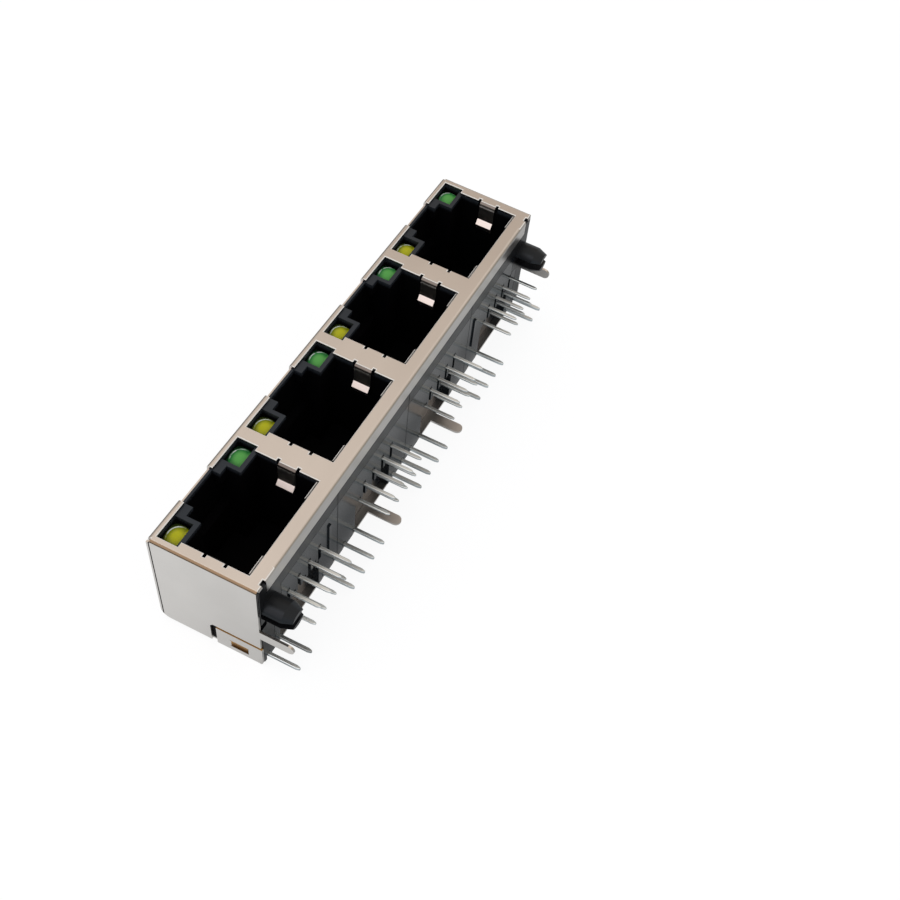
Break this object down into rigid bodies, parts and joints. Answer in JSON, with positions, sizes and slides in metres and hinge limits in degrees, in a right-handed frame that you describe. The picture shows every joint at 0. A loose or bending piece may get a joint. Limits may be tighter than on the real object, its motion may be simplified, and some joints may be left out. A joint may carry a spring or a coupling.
{
  "type": "rj45 board jack",
  "caption": "Low-profile ganged modular jack for a circuit board: folded metal shield, black housing, spring contacts, and lamps beside each latch notch",
  "frame": {"origin": "centre of the flat back face of the shield, on which the jack rests with its ports up", "axes": "+Z points out of the ports, +Y runs along the row, +X points from the top plate and latch side to the board side, along the tails"},
  "size_m": [0.0144, 0.056, 0.0132],
  "materials": {
    "shield_metal": "bright nickel plate over rolled copper alloy sheet, fine satin, warm cut edges",
    "housing_plastic": "black glass-filled thermoplastic, fine matt mould texture",
    "carrier_plastic": "black glass-filled thermoplastic, fine matt mould texture",
    "contact_metal": "gold-plated springs, tin-plated tails",
    "lead_metal": "tin-plated, lightly streaked",
    "lens_green": "tinted diffused epoxy, smooth",
    "lens_yellow": "tinted diffused epoxy, smooth"
  },
  "bodies": {
    "root": {"shield": "shield_metal", "housing": "housing_plastic", "carrier_1": "carrier_plastic", "carrier_2": "carrier_plastic", "carrier_3": "carrier_plastic", "carrier_4": "carrier_plastic", "contact_1_1": "contact_metal", "contact_1_2": "contact_metal", "contact_1_3": "contact_metal", "contact_1_4": "contact_metal", "contact_1_5": "contact_metal", "contact_1_6": "contact_metal", "contact_1_7": "contact_metal", "contact_1_8": "contact_metal", "contact_2_1": "contact_metal", "contact_2_2": "contact_metal", "contact_2_3": "contact_metal", "contact_2_4": "contact_metal", "contact_2_5": "contact_metal", "contact_2_6": "contact_metal", "contact_2_7": "contact_metal", "contact_2_8": "contact_metal", "contact_3_1": "contact_metal", "contact_3_2": "contact_metal", "contact_3_3": "contact_metal", "contact_3_4": "contact_metal", "contact_3_5": "contact_metal", "contact_3_6": "contact_metal", "contact_3_7": "contact_metal", "contact_3_8": "contact_metal", "contact_4_1": "contact_metal", "contact_4_2": "contact_metal", "contact_4_3": "contact_metal", "contact_4_4": "contact_metal", "contact_4_5": "contact_metal", "contact_4_6": "contact_metal", "contact_4_7": "contact_metal", "contact_4_8": "contact_metal", "lamp_green_1": "lens_green", "leads_green_1": "lead_metal", "lamp_yellow_1": "lens_yellow", "leads_yellow_1": "lead_metal", "lamp_green_2": "lens_green", "leads_green_2": "lead_metal", "lamp_yellow_2": "lens_yellow", "leads_yellow_2": "lead_metal", "lamp_green_3": "lens_green", "leads_green_3": "lead_metal", "lamp_yellow_3": "lens_yellow", "leads_yellow_3": "lead_metal", "lamp_green_4": "lens_green", "leads_green_4": "lead_metal", "lamp_yellow_4": "lens_yellow", "leads_yellow_4": "lead_metal"}
  },
  "joints": []
}
